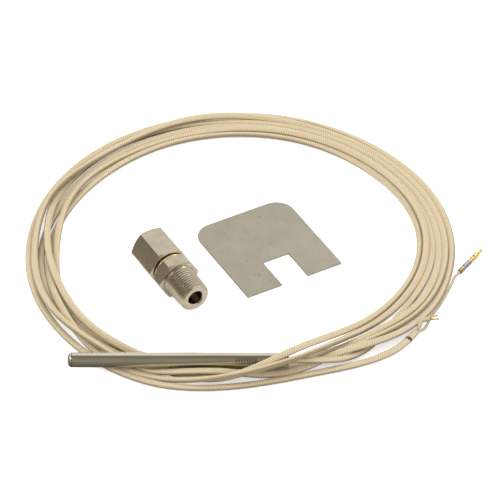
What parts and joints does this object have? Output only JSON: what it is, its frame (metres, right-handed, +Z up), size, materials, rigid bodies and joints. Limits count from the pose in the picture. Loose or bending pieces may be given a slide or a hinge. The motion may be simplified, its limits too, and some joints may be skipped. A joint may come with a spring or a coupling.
{
  "type": "thermocouple probe kit",
  "caption": "Straight metal-sheathed thermocouple probe on a coiled glass-braided lead with crimp contacts, a loose compression fitting and a slotted mounting plate.",
  "frame": {"origin": "bottom centre of the whole kit's box, on the surface that the coil lies on", "axes": "+Z up from the surface; +X along the probe, from its tip to its lead; +Y from the probe towards the far side of the coil"},
  "size_m": [0.1484, 0.14, 0.0127],
  "materials": {
    "stainless_polished": "polished stainless steel with fine drawn lines",
    "stainless_satin": "satin stainless sheet, faint mottling",
    "stainless_turned": "turned and milled stainless steel",
    "glass_braid": "beige varnished glass-fibre braid",
    "dark_wrap": "dark varnished thread wrap",
    "gold_plate": "gold-plated crimp contact",
    "alloy_positive": "bare nickel-chromium alloy wire",
    "alloy_negative": "bare nickel alloy wire",
    "junction_weld": "fused weld bead",
    "ceramic": "unglazed high-alumina ceramic",
    "cement": "ceramic potting cement",
    "glass_bush": "wound glass-fibre bush"
  },
  "bodies": {
    "kit": {"ceramic_beads": "ceramic", "hot_junction": "junction_weld", "lead_bushing": "glass_bush", "lead_jacket": "glass_braid", "mouth_wrap": "dark_wrap", "negative_sleeve": "glass_braid", "negative_wire": "alloy_negative", "pin_contact": "gold_plate", "positive_sleeve": "glass_braid", "positive_wire": "alloy_positive", "probe_sheath": "stainless_polished", "rear_seal": "cement", "socket_contact": "gold_plate", "tip_cement": "cement", "tip_plug": "stainless_polished"},
    "fitting": {"fitting_body": "stainless_turned"},
    "ferrule": {"ferrule": "stainless_turned"},
    "nut": {"compression_nut": "stainless_turned"},
    "plate": {"mounting_plate": "stainless_satin"}
  },
  "joints": [
    {"name": "fitting_lift", "type": "slide", "parent": "kit", "child": "fitting", "axis": [0, 0, 1], "range_m": [0, 0.05]},
    {"name": "nut_advance", "type": "slide", "parent": "fitting", "child": "ferrule", "axis": [-0.4924, 0.8704, 0], "range_m": [-0.0003, 0.0064]},
    {"name": "nut_turn", "type": "hinge", "parent": "ferrule", "child": "nut", "pos_m": [-0.0304, -0.01132, 0.00635], "axis": [-0.4924, 0.8704, 0], "range_deg": [-90, 2160]},
    {"name": "plate_lift", "type": "slide", "parent": "kit", "child": "plate", "axis": [0, 0, 1], "range_m": [0, 0.05]}
  ],
  "couplings": [
    {"joint": "nut_advance", "follows": "nut_turn", "m_per_rad": 0.00016844}
  ]
}
